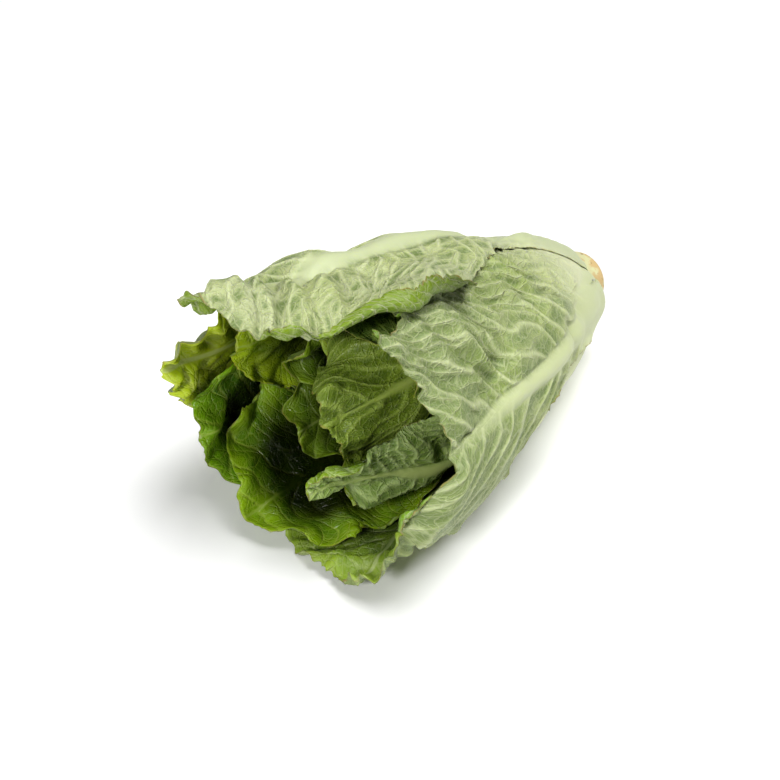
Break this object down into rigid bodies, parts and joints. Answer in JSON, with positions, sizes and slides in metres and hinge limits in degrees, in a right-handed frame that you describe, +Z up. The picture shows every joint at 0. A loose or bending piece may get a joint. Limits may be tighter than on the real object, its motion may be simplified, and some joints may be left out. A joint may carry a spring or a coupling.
{
  "type": "romaine lettuce head",
  "caption": "Romaine lettuce head lying on its side, cut at the stem, with pale broad-ribbed outer leaves round darker green leaves and a loose, open yellow-green heart",
  "frame": {"origin": "on the surface the head lies on, under the middle of its bounding box", "axes": "+X along the head towards the cut stem, +Y to the side away from the open side of the top leaves, +Z up"},
  "size_m": [0.307, 0.1698, 0.1664],
  "materials": {
    "stem": "moist cut plant tissue, pale cream-green with a tan cut face",
    "heart_leaf": "thin soft waxy leaf, yellow-green, crinkled",
    "inner_leaf": "thin waxy leaf, fresh green with pale veins",
    "middle_leaf": "waxy leaf, dark green inside with thin yellow-green veins",
    "outer_leaf": "satin leaf, pale grey-green outside with raised whitish ribs and veins"
  },
  "bodies": {
    "root": {"stem": "stem", "heart_bud": "heart_leaf", "heart_leaf_1": "heart_leaf", "heart_leaf_2": "heart_leaf", "heart_leaf_3": "heart_leaf", "heart_leaf_4": "heart_leaf", "heart_leaf_5": "heart_leaf", "heart_leaf_6": "heart_leaf", "inner_leaf_1": "inner_leaf", "inner_leaf_2": "inner_leaf", "inner_leaf_3": "inner_leaf", "inner_leaf_4": "inner_leaf", "inner_leaf_5": "inner_leaf", "middle_leaf_1": "middle_leaf", "middle_leaf_2": "middle_leaf", "middle_leaf_3": "middle_leaf", "middle_leaf_4": "middle_leaf", "outer_leaf_1": "outer_leaf", "outer_leaf_2": "outer_leaf", "outer_leaf_3": "outer_leaf", "outer_leaf_4": "outer_leaf", "outer_leaf_5": "outer_leaf"}
  },
  "joints": []
}
